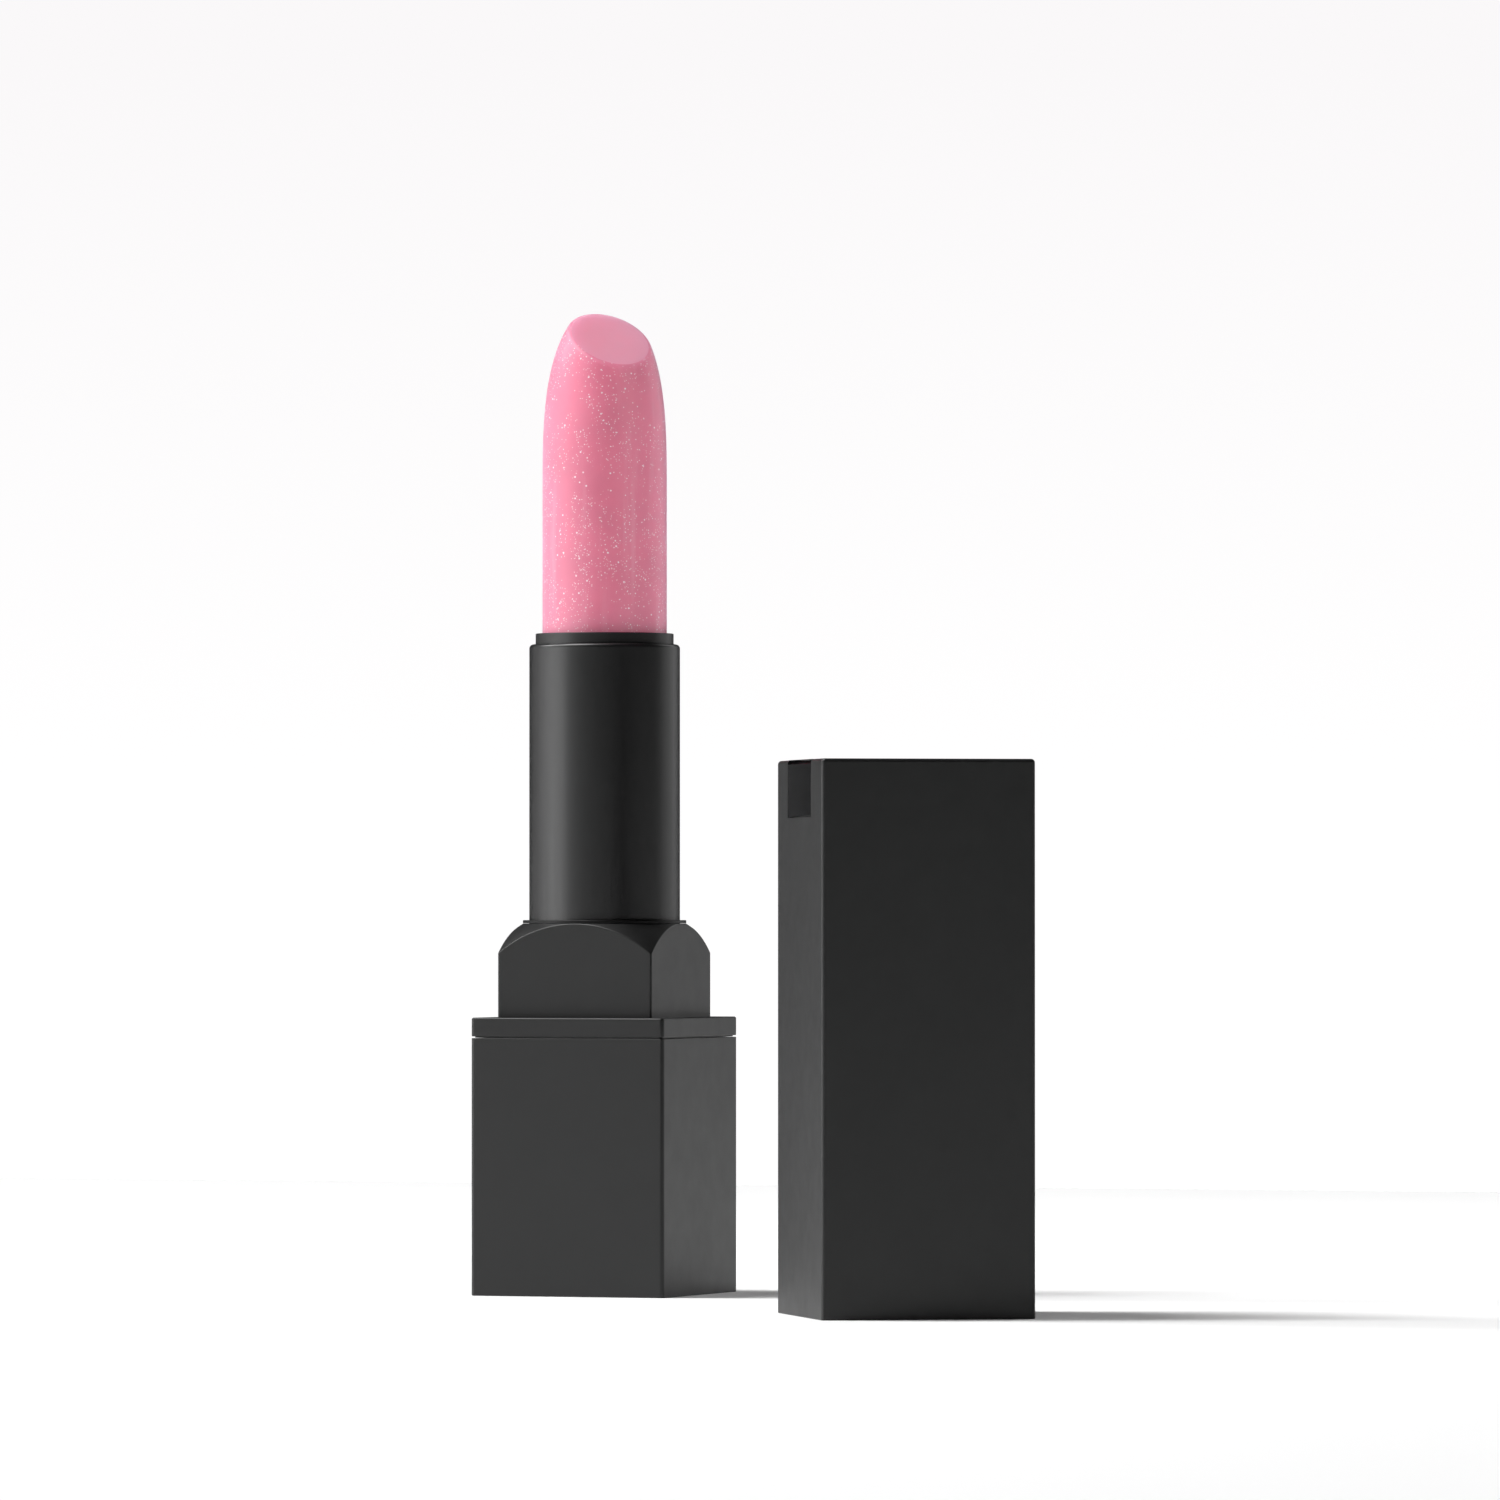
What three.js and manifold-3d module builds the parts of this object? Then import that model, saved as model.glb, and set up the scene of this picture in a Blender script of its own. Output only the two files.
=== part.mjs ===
// Square twist-up lipstick case, bullet raised, with its cap standing beside it.
// Millimetres, +Z up. The origin is the middle of the base's underside, on the swivel axis.
import * as THREE from 'three';
import { mergeVertices } from 'three/addons/utils/BufferGeometryUtils.js';
import Module from 'manifold-3d';

const wasm = await Module();
wasm.setup();

// Facets round a full circle, round a square's corner and along an arc.
const ROUND_STEPS = 48;
const CORNER_STEPS = 2;
const ARC_STEPS = 8;
// Points closer than this are one point.
const WELD = 1e-4;
// How far a cutter stands past what it cuts.
const PAST = 1;

// Square outside of the case. The seam that turns lies between the base and the collar.
const CASE_HALF = 10;
const CORNER_RADIUS = 0.34;
const SEAM_Z = 25;
const SEAM_GAP = 0.1;
const PLATE_LOW_Z = SEAM_Z + SEAM_GAP / 2;
const PLATE_TOP_Z = 26.9;

// Base shell, the steel slug on its floor and the insert that holds the mechanism.
const BASE_WALL = 1.3;
const BASE_FLOOR = 1.4;
const FIT_GAP = 0.1;
const WEIGHT_HALF = 8.3;
const WEIGHT_HEIGHT = 4;
const INSERT_LOW_Z = 5.7;
const INSERT_TOP_Z = 24.3;
const SOCKET_RADIUS = 7.3;
const SOCKET_LOW_Z = 7.9;
const WELL_RADIUS = 8.1;
const WELL_LOW_Z = 15.3;

// Neck: a square block that stands up through the collar, with a spherical dome and a spigot below.
const NECK_HALF = 8;
const NECK_CORNER_RADIUS = 0.2;
const NECK_TOP_Z = 36;
const DOME_RADIUS = 14.8;
const DOME_CENTRE_Z = 23.5;
const DOME_EDGE_Z = 32.9;
const SPIGOT_RADIUS = 7.95;
const SPIGOT_LOW_Z = 15.8;
const NECK_BORE_RADIUS = 7.4;
const NECK_RING_RADIUS = 7.95;
const NECK_RING_GAP = 0.03;
const NECK_RING_HEIGHT = 0.3;

// Outer tube with a lip turned in at its mouth.
const TUBE_RADIUS = 7.33;
const TUBE_INNER_RADIUS = 7.08;
const TUBE_LOW_Z = 20.2;
const TUBE_TOP_Z = 63.15;
const TUBE_LIP = 0.65;
const TUBE_LIP_RADIUS = 6.79;
const TUBE_EDGE_ROUND = 0.4;

// Guide body: a thick stem in the base, then a thin slotted tube whose rim shows at the top.
const STEM_RADIUS = 7.25;
const STEM_BORE_RADIUS = 5.6;
const STEM_LOW_Z = 8;
const STEM_FLOOR = 1.2;
const STEM_TOP_Z = 19.8;
const GUIDE_RADIUS = 6.715;
const GUIDE_BORE_RADIUS = 6.4;
const GUIDE_BORE_LOW_Z = 20.2;
const GUIDE_TOP_Z = 64.2;
const BEAD_RADIUS = 6.95;
const BEAD_LOW_Z = 59.3;
const BEAD_HEIGHT = 0.6;
const GROOVE_RADIUS = 6.5;
const GROOVE_LOW_Z = 17;
const GROOVE_HEIGHT = 1.4;
const TORQUE_RING_RADIUS = 6.96;
const TORQUE_RING_SECTION = 0.41;
const TORQUE_RING_FACETS = 8;

// Cup that carries the bullet on two lugs, and how far it travels down as the collar turns.
const CUP_RADIUS = 6.32;
const CUP_BORE_RADIUS = 6;
const CUP_LOW_Z = 54.5;
const CUP_FLOOR = 0.7;
const CUP_TOP_Z = 63.9;
const LUG_RADIUS = 0.75;
const LUG_REACH = 6.98;
const LUG_Z = 55.9;
const STROKE = 33.6;
const SWIVEL_TURN = THREE.MathUtils.degToRad(630);
const LUG_FACETS = 16;

// Straight slots in the guide and helical slots in the spiral sleeve that turns round it.
const LUG_CLEARANCE = 0.15;
const GUIDE_SLOT_WIDTH = 2 * LUG_RADIUS + 0.2;
const GUIDE_SLOT_END = 0.35;
const SPIRAL_RADIUS = 7.05;
const SPIRAL_BORE_RADIUS = 6.78;
const SPIRAL_LOW_Z = 20.2;
const SPIRAL_TOP_Z = 59;
const SPIRAL_END_ANGLE = THREE.MathUtils.degToRad(7.5);

// Bullet: a straight stick under a rounded nose, cut by a slanted flat face.
const BULLET_RADIUS = 6.05;
const BULLET_FOOT_RADIUS = 5.95;
const NOSE_LOW_Z = 78.3;
const NOSE_HEIGHT = 18.33;
const NOSE_POWER = 3.05;
const NOSE_ROOT = 1.94;
const SLANT_Z = 93.87;
const SLANT_ANGLE = THREE.MathUtils.degToRad(36.3);
const SLANT_UPHILL = THREE.MathUtils.degToRad(132.8);
const SLANT_CUT_SIDE = 40;

// Cap, standing on the same surface as the base, turned about its own middle.
const CAP_X = 47.7;
const CAP_Y = -45.4;
const CAP_YAW = THREE.MathUtils.degToRad(32.33);
const CAP_HEIGHT = 51.16;
const CAP_WALL = 0.9;
const CAP_ROOF = 1.16;
const LINER_BORE_HALF = 8.3;
const LINER_LOW_Z = 0.35;
const LINER_ROOF = 1.1;
const LINER_CORNER_RADIUS = 0.25;

// Inlay let into one face of the cap and folded over its top edge.
const INLAY_WIDTH = 10.3;
const INLAY_LOW_Z = 45.92;
const INLAY_REACH = 5.24;
const INLAY_THICKNESS = 0.5;
const INLAY_GAP = 0.06;
const INLAY_EDGE_ROUND = 0.35;

function finish(color, roughness, metalness) {
  return { color, roughness, metalness };
}

const SOFT_BLACK = finish(0x2b2b2c, 0.55, 0);
const TUBE_BLACK = finish(0x232324, 0.35, 0.6);
const GLOSS_BLACK = finish(0x111112, 0.15, 0);
const INNER_BLACK = finish(0x1c1c1d, 0.6, 0);
const NATURAL_PLASTIC = finish(0xd9d7cf, 0.5, 0);
const STEEL = finish(0x8f9194, 0.35, 1);
const RUBBER = finish(0x202020, 0.9, 0);
const PINK_WAX = finish(0xe38aa4, 0.45, 0);

function weld(geometry) {
  const bare = geometry.clone();
  bare.deleteAttribute('normal');
  bare.deleteAttribute('uv');
  const merged = mergeVertices(bare, WELD);
  const corners = merged.index.array;
  const kept = [];
  for (let i = 0; i < corners.length; i += 3) {
    const [a, b, c] = corners.slice(i, i + 3);
    if (a !== b && b !== c && c !== a) {
      kept.push(a, b, c);
    }
  }
  merged.setIndex(kept);
  return merged;
}

function solid(geometry) {
  const merged = weld(geometry);
  return new wasm.Manifold(new wasm.Mesh({
    numProp: 3,
    vertProperties: new Float32Array(merged.attributes.position.array),
    triVerts: new Uint32Array(merged.index.array),
  }));
}

function surface(body) {
  const { vertProperties, triVerts } = body.getMesh();
  const geometry = new THREE.BufferGeometry();
  geometry.setAttribute('position', new THREE.BufferAttribute(vertProperties, 3));
  geometry.setIndex(new THREE.BufferAttribute(triVerts, 1));
  geometry.computeVertexNormals();
  return geometry;
}

function addPiece(group, name, body, look) {
  const mesh = new THREE.Mesh(surface(body), new THREE.MeshStandardMaterial(look));
  mesh.name = name;
  group.add(mesh);
}

function roundedSquare(half, radius) {
  const shape = new THREE.Shape();
  const middle = half - radius;
  const quarter = Math.PI / 2;
  shape.absarc(middle, middle, radius, 0, quarter);
  shape.absarc(-middle, middle, radius, quarter, 2 * quarter);
  shape.absarc(-middle, -middle, radius, 2 * quarter, 3 * quarter);
  shape.absarc(middle, -middle, radius, 3 * quarter, 4 * quarter);
  return shape;
}

function prism(shape, low, high) {
  const options = { depth: high - low, bevelEnabled: false, curveSegments: CORNER_STEPS };
  return solid(new THREE.ExtrudeGeometry(shape, options).translate(0, 0, low));
}

function squarePrism(half, radius, low, high) {
  return prism(roundedSquare(half, radius), low, high);
}

// Turns a closed outline of [radius, height] points, listed anticlockwise, about the Z axis.
function turned(outline) {
  const points = outline.map(([radius, height]) => new THREE.Vector2(radius, height));
  return solid(new THREE.LatheGeometry(points, ROUND_STEPS).rotateX(Math.PI / 2));
}

function disc(radius, low, high) {
  return turned([[0, low], [radius, low], [radius, high], [0, high]]);
}

function ring(inner, outer, low, high) {
  return turned([[inner, low], [outer, low], [outer, high], [inner, high], [inner, low]]);
}

function block(low, high) {
  const size = high.map((value, axis) => value - low[axis]);
  const middle = high.map((value, axis) => (value + low[axis]) / 2);
  return solid(new THREE.BoxGeometry(...size).translate(...middle));
}

// Points of an arc about [radius, height], from one angle to another.
function arc(centreRadius, centreHeight, size, from, to) {
  const points = [];
  for (let i = 0; i <= ARC_STEPS; i += 1) {
    const angle = from + (to - from) * i / ARC_STEPS;
    points.push([centreRadius + size * Math.cos(angle), centreHeight + size * Math.sin(angle)]);
  }
  return points;
}

function makeBaseShell() {
  const top = SEAM_Z - SEAM_GAP / 2;
  const outside = squarePrism(CASE_HALF, CORNER_RADIUS, 0, top);
  const hollow = squarePrism(CASE_HALF - BASE_WALL, CORNER_RADIUS, BASE_FLOOR, top + PAST);
  return outside.subtract(hollow);
}

function makeBaseWeight() {
  const low = BASE_FLOOR + FIT_GAP;
  return squarePrism(WEIGHT_HALF, CORNER_RADIUS, low, low + WEIGHT_HEIGHT);
}

function makeBaseInsert() {
  const half = CASE_HALF - BASE_WALL - FIT_GAP;
  const body = squarePrism(half, CORNER_RADIUS, INSERT_LOW_Z, INSERT_TOP_Z);
  const socket = disc(SOCKET_RADIUS, SOCKET_LOW_Z, INSERT_TOP_Z);
  const well = disc(WELL_RADIUS, WELL_LOW_Z, INSERT_TOP_Z + PAST);
  return body.subtract(socket.add(well));
}

function makeGuideBody() {
  const grooveTop = GROOVE_LOW_Z + GROOVE_HEIGHT;
  const beadTop = BEAD_LOW_Z + BEAD_HEIGHT;
  const body = turned([
    [0, STEM_LOW_Z], [STEM_RADIUS, STEM_LOW_Z],
    [STEM_RADIUS, GROOVE_LOW_Z], [GROOVE_RADIUS, GROOVE_LOW_Z],
    [GROOVE_RADIUS, grooveTop], [STEM_RADIUS, grooveTop],
    [STEM_RADIUS, STEM_TOP_Z], [GUIDE_RADIUS, STEM_TOP_Z],
    [GUIDE_RADIUS, BEAD_LOW_Z], [BEAD_RADIUS, BEAD_LOW_Z],
    [BEAD_RADIUS, beadTop], [GUIDE_RADIUS, beadTop],
    [GUIDE_RADIUS, GUIDE_TOP_Z], [GUIDE_BORE_RADIUS, GUIDE_TOP_Z],
    [GUIDE_BORE_RADIUS, GUIDE_BORE_LOW_Z], [STEM_BORE_RADIUS, GUIDE_BORE_LOW_Z],
    [STEM_BORE_RADIUS, STEM_LOW_Z + STEM_FLOOR], [0, STEM_LOW_Z + STEM_FLOOR],
  ]);
  const reach = CASE_HALF;
  const side = GUIDE_SLOT_WIDTH / 2;
  const low = LUG_Z - STROKE - LUG_RADIUS - GUIDE_SLOT_END;
  const high = LUG_Z + LUG_RADIUS + GUIDE_SLOT_END;
  return body.subtract(block([-reach, -side, low], [reach, side, high]));
}

function makeTorqueRing() {
  const middle = GROOVE_LOW_Z + GROOVE_HEIGHT / 2;
  const torus = new THREE.TorusGeometry(
    TORQUE_RING_RADIUS, TORQUE_RING_SECTION, TORQUE_RING_FACETS, ROUND_STEPS);
  return solid(torus.translate(0, 0, middle));
}

function makeDome() {
  const start = Math.asin((DOME_EDGE_Z - DOME_CENTRE_Z) / DOME_RADIUS);
  const end = Math.asin((NECK_TOP_Z - DOME_CENTRE_Z) / DOME_RADIUS);
  const edgeRadius = DOME_RADIUS * Math.cos(start);
  return turned([
    [0, PLATE_LOW_Z - PAST],
    [edgeRadius, PLATE_LOW_Z - PAST],
    ...arc(0, DOME_CENTRE_Z, DOME_RADIUS, start, end),
    [0, NECK_TOP_Z],
  ]);
}

function makeCollar() {
  const half = NECK_HALF + FIT_GAP;
  const radius = NECK_CORNER_RADIUS + FIT_GAP;
  const plate = squarePrism(CASE_HALF, CORNER_RADIUS, PLATE_LOW_Z, PLATE_TOP_Z);
  return plate.subtract(squarePrism(half, radius, PLATE_LOW_Z - PAST, PLATE_TOP_Z + PAST));
}

function makeNeck() {
  const walls = squarePrism(NECK_HALF, NECK_CORNER_RADIUS, PLATE_LOW_Z, NECK_TOP_Z + PAST);
  const spigot = disc(SPIGOT_RADIUS, SPIGOT_LOW_Z, PLATE_LOW_Z + PAST);
  const bore = disc(NECK_BORE_RADIUS, SPIGOT_LOW_Z - PAST, NECK_TOP_Z + PAST);
  return walls.intersect(makeDome()).add(spigot).subtract(bore);
}

function makeNeckRing() {
  const low = NECK_TOP_Z + NECK_RING_GAP;
  return ring(NECK_BORE_RADIUS, NECK_RING_RADIUS, low, low + NECK_RING_HEIGHT);
}

function makeOuterTube() {
  const shoulder = TUBE_TOP_Z - TUBE_LIP;
  const edgeRadius = TUBE_RADIUS - TUBE_EDGE_ROUND;
  const edgeHeight = TUBE_TOP_Z - TUBE_EDGE_ROUND;
  return turned([
    [TUBE_INNER_RADIUS, TUBE_LOW_Z],
    [TUBE_RADIUS, TUBE_LOW_Z],
    ...arc(edgeRadius, edgeHeight, TUBE_EDGE_ROUND, 0, Math.PI / 2),
    [TUBE_LIP_RADIUS, TUBE_TOP_Z],
    [TUBE_LIP_RADIUS, shoulder],
    [TUBE_INNER_RADIUS, shoulder],
    [TUBE_INNER_RADIUS, TUBE_LOW_Z],
  ]);
}

// Cutter for one helical slot. A long block is bent round the Z axis and climbs as it goes.
function helicalCutter(startAngle) {
  const rise = STROKE / SWIVEL_TURN;
  const slope = Math.atan(rise / SPIRAL_RADIUS);
  const width = 2 * (LUG_RADIUS + LUG_CLEARANCE) / Math.cos(slope);
  const turn = SWIVEL_TURN + 2 * SPIRAL_END_ANGLE;
  const depth = SPIRAL_RADIUS - SPIRAL_BORE_RADIUS + PAST;
  const middleRadius = (SPIRAL_RADIUS + SPIRAL_BORE_RADIUS) / 2;
  const steps = Math.round(turn / (2 * Math.PI) * ROUND_STEPS);
  const bent = weld(new THREE.BoxGeometry(turn, depth, width, steps, 1, 1));
  const place = bent.attributes.position;
  for (let i = 0; i < place.count; i += 1) {
    const angle = -SWIVEL_TURN / 2 - place.getX(i);
    const radius = middleRadius + place.getY(i);
    const height = LUG_Z + rise * angle + place.getZ(i);
    const around = startAngle + angle;
    place.setXYZ(i, radius * Math.cos(around), radius * Math.sin(around), height);
  }
  return solid(bent);
}

function makeSpiralSleeve() {
  const sleeve = ring(SPIRAL_BORE_RADIUS, SPIRAL_RADIUS, SPIRAL_LOW_Z, SPIRAL_TOP_Z);
  return sleeve.subtract(helicalCutter(0)).subtract(helicalCutter(Math.PI));
}

function makeCup() {
  const body = turned([
    [0, CUP_LOW_Z], [CUP_RADIUS, CUP_LOW_Z],
    [CUP_RADIUS, CUP_TOP_Z], [CUP_BORE_RADIUS, CUP_TOP_Z],
    [CUP_BORE_RADIUS, CUP_LOW_Z + CUP_FLOOR], [0, CUP_LOW_Z + CUP_FLOOR],
  ]);
  const bar = new THREE.CylinderGeometry(LUG_RADIUS, LUG_RADIUS, 2 * LUG_REACH, LUG_FACETS);
  const lugs = solid(bar.rotateZ(Math.PI / 2).translate(0, 0, LUG_Z));
  const middle = disc((CUP_BORE_RADIUS + CUP_RADIUS) / 2, CUP_LOW_Z, LUG_Z + PAST);
  return body.add(lugs.subtract(middle));
}

function makeBullet() {
  const outline = [
    [0, CUP_LOW_Z + CUP_FLOOR + FIT_GAP],
    [BULLET_FOOT_RADIUS, CUP_LOW_Z + CUP_FLOOR + FIT_GAP],
    [BULLET_FOOT_RADIUS, CUP_TOP_Z + FIT_GAP],
    [BULLET_RADIUS, CUP_TOP_Z + FIT_GAP],
  ];
  for (let i = 0; i <= ARC_STEPS; i += 1) {
    const part = Math.sin(i / ARC_STEPS * Math.PI / 2);
    const radius = BULLET_RADIUS * Math.max(0, 1 - part ** NOSE_POWER) ** (1 / NOSE_ROOT);
    outline.push([radius, NOSE_LOW_Z + NOSE_HEIGHT * part]);
  }
  const cut = new THREE.BoxGeometry(SLANT_CUT_SIDE, SLANT_CUT_SIDE, SLANT_CUT_SIDE);
  cut.translate(0, 0, SLANT_CUT_SIDE / 2);
  cut.rotateY(-SLANT_ANGLE);
  cut.rotateZ(SLANT_UPHILL);
  cut.translate(0, 0, SLANT_Z);
  return turned(outline).subtract(solid(cut));
}

// L-shaped strip down the cap's -X face and over its top, grown by a margin on its inner sides.
function inlayStrip(margin, proud) {
  const face = -CASE_HALF - proud;
  const top = CAP_HEIGHT + proud;
  const inside = -CASE_HALF + INLAY_THICKNESS + margin;
  const under = CAP_HEIGHT - INLAY_THICKNESS - margin;
  const low = INLAY_LOW_Z - margin;
  const end = -CASE_HALF + INLAY_REACH + margin;
  const round = proud > 0 ? 0 : INLAY_EDGE_ROUND;
  const shape = new THREE.Shape();
  shape.moveTo(face, low);
  shape.lineTo(inside, low);
  shape.lineTo(inside, under);
  shape.lineTo(end, under);
  shape.lineTo(end, top);
  shape.lineTo(face + round, top);
  if (round > 0) {
    shape.absarc(face + round, top - round, round, Math.PI / 2, Math.PI);
  }
  shape.lineTo(face, low);
  const width = INLAY_WIDTH + 2 * margin;
  const options = { depth: width, bevelEnabled: false, curveSegments: CORNER_STEPS };
  const strip = new THREE.ExtrudeGeometry(shape, options);
  return solid(strip.rotateX(Math.PI / 2).translate(0, width / 2, 0));
}

function makeCapShell() {
  const outside = squarePrism(CASE_HALF, CORNER_RADIUS, 0, CAP_HEIGHT);
  const roof = CAP_HEIGHT - CAP_ROOF;
  const hollow = squarePrism(CASE_HALF - CAP_WALL, LINER_CORNER_RADIUS, -PAST, roof);
  return outside.subtract(hollow).subtract(inlayStrip(INLAY_GAP, PAST));
}

function makeCapLiner() {
  const half = CASE_HALF - CAP_WALL - FIT_GAP;
  const top = CAP_HEIGHT - CAP_ROOF - FIT_GAP;
  const body = squarePrism(half, LINER_CORNER_RADIUS, LINER_LOW_Z, top);
  const hollow = squarePrism(LINER_BORE_HALF, LINER_CORNER_RADIUS, -PAST, top - LINER_ROOF);
  return body.subtract(hollow);
}

function makeBase() {
  const base = new THREE.Group();
  addPiece(base, 'base_shell', makeBaseShell(), SOFT_BLACK);
  addPiece(base, 'base_weight', makeBaseWeight(), STEEL);
  addPiece(base, 'base_insert', makeBaseInsert(), INNER_BLACK);
  addPiece(base, 'guide_body', makeGuideBody(), INNER_BLACK);
  addPiece(base, 'torque_ring', makeTorqueRing(), RUBBER);
  return base;
}

function makeUpper() {
  const upper = new THREE.Group();
  addPiece(upper, 'collar', makeCollar(), SOFT_BLACK);
  addPiece(upper, 'neck', makeNeck(), SOFT_BLACK);
  addPiece(upper, 'neck_ring', makeNeckRing(), TUBE_BLACK);
  addPiece(upper, 'outer_tube', makeOuterTube(), TUBE_BLACK);
  addPiece(upper, 'spiral_sleeve', makeSpiralSleeve(), NATURAL_PLASTIC);
  return upper;
}

function makeCarriage() {
  const carriage = new THREE.Group();
  addPiece(carriage, 'bullet_cup', makeCup(), NATURAL_PLASTIC);
  addPiece(carriage, 'lipstick_bullet', makeBullet(), PINK_WAX);
  return carriage;
}

function makeCap() {
  const cap = new THREE.Group();
  cap.position.set(CAP_X, CAP_Y, 0);
  cap.rotation.z = CAP_YAW;
  addPiece(cap, 'cap_shell', makeCapShell(), SOFT_BLACK);
  addPiece(cap, 'cap_liner', makeCapLiner(), INNER_BLACK);
  addPiece(cap, 'cap_inlay', inlayStrip(0, 0), GLOSS_BLACK);
  return cap;
}

const lipstickCase = new THREE.Group();
lipstickCase.add(makeBase(), makeUpper(), makeCarriage(), makeCap());

export default lipstickCase;
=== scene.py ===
"""How the square lipstick case and its cap look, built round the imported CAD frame. Metres, +Z up."""
import math

import bmesh
import bpy
from mathutils import Matrix, Vector


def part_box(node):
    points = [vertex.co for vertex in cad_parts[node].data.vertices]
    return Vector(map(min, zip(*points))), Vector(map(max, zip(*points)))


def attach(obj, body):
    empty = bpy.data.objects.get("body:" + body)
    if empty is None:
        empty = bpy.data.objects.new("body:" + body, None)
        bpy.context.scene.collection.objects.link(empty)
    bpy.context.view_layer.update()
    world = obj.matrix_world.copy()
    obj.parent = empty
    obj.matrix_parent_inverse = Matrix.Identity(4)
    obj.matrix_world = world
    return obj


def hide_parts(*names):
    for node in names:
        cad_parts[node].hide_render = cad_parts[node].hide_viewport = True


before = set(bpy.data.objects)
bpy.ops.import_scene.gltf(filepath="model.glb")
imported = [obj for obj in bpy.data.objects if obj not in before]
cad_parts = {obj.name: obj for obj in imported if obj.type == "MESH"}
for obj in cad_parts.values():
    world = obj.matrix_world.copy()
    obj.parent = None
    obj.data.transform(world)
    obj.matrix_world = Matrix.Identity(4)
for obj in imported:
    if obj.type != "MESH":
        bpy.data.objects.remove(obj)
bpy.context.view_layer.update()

MM = 0.001
TURN = 2 * math.pi

# Facets round a full circle, along a square's side, round its corner, and round an edge.
ROUND_STEPS = 160
SIDE_STEPS = 28
CORNER_STEPS = 8
EDGE_STEPS = 6

# Edges sharper than this stay sharp, and a cutter reaches this far past a surface.
SHARP_ANGLE = math.radians(35)
PAST = 1 * MM

# Case outside, its edges and walls, and the seam between base and collar.
CORNER_RADIUS = 0.38 * MM
CAD_CORNER_RADIUS = 0.34 * MM
SMALLEST_CORNER = 0.03 * MM
FOOT_EDGE = 0.1 * MM
SEAM_EDGE = 0.06 * MM
SEAM_DEPTH = 0.25 * MM
SEAM_EASE = 0.03 * MM
SEAM_PLAY = 0.01 * MM
PLATE_EDGE = 0.2 * MM
BASE_WALL = 1.3 * MM
BASE_FLOOR = 1.4 * MM

# Neck, its dome and the ring on it.
NECK_HALF = 8 * MM
NECK_CORNER = 0.2 * MM
FRAME_HALF = 8.02 * MM
FRAME_CORNER = 0.22 * MM
DOME_RADIUS = 14.8 * MM
DOME_CENTRE = 23.5 * MM
DOME_TOP_RADIUS = 7.924 * MM
DOME_RINGS = 14
CREASE = 0.1 * MM
CREASE_SHARE = 0.8
SPIGOT_RADIUS = 7.95 * MM
NECK_BORE = 7.4 * MM
NECK_RING_EDGE = 0.08 * MM

# Tube and the guide body inside it.
TUBE_INNER = 7.08 * MM
TUBE_LIP = 0.65 * MM
TUBE_LIP_RADIUS = 6.79 * MM
TUBE_LIP_CHAMFER = 0.05 * MM
TUBE_EDGE = 0.4 * MM
STEM_RADIUS = 7.25 * MM
STEM_BORE = 5.6 * MM
STEM_FLOOR = 1.2 * MM
STEM_TOP = 19.8 * MM
GROOVE_RADIUS = 6.5 * MM
GROOVE_LOW = 17 * MM
GROOVE_HIGH = 18.4 * MM
GUIDE_RADIUS = 6.715 * MM
GUIDE_BORE = 6.4 * MM
GUIDE_BORE_LOW = 20.2 * MM
GUIDE_EDGE = 0.07 * MM
BEAD_RADIUS = 6.95 * MM
BEAD_LOW = 59.3 * MM
BEAD_HIGH = 59.9 * MM
SLOT_WIDTH = 1.7 * MM
SLOT_LOW = 21.2 * MM
SLOT_HIGH = 57 * MM

# Bullet: straight stick, rounded nose, slanted flat face. Its rings crowd towards the top.
BULLET_RADIUS = 6.05 * MM
BULLET_FOOT = 5.95 * MM
BULLET_STEP = 64.05 * MM
BULLET_STEP_EASE = 0.05 * MM
NOSE_LOW = 78.3 * MM
NOSE_HEIGHT = 18.33 * MM
NOSE_POWER = 3.05
NOSE_ROOT = 1.94
SLANT_HEIGHT = 93.87 * MM
SLANT_SLOPE = math.tan(math.radians(36.3))
SLANT_UPHILL = math.radians(132.8)
SLANT_EDGE = 0.35 * MM
BULLET_RINGS = 60
RING_CROWDING = 1.5
FACE_RINGS = 12
FACE_ALIGNMENT = 0.995
HALVINGS = 50

# Wax: how much light enters it, how far each colour travels, its gloss and soft sheen, the heights
# between which its flakes thin out, its paler tones, and the near-white of its flakes, which is painted
# glint.
WAX_DEPTH = 0.8
WAX_REACH = 4 * MM
WAX_REACH_SHARES = (1.0, 0.8, 0.85)
WAX_GLOSS = 0.6
WAX_SHEEN = 0.5
WAX_SHEEN_ROUGHNESS = 0.35
WAX_FOOT = 64 * MM
WAX_TIP = 95 * MM
WAX_PALE = (0.92, 0.5, 0.62)
WAX_GLOW = (0.9, 0.75, 1.0, 1)
WAX_FLAKE_GLINT = (1.0, 0.86, 0.9)

# Flakes of three sizes: cells per metre, radius as a share of a cell, and how few are picked.
FLAKES = ((1500, 0.17, 0.25), (2700, 0.2, 0.27), (4200, 0.23, 0.3))
FLAKE_SOFTNESS = 0.6
PICK_SOFTNESS = 0.02

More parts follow.
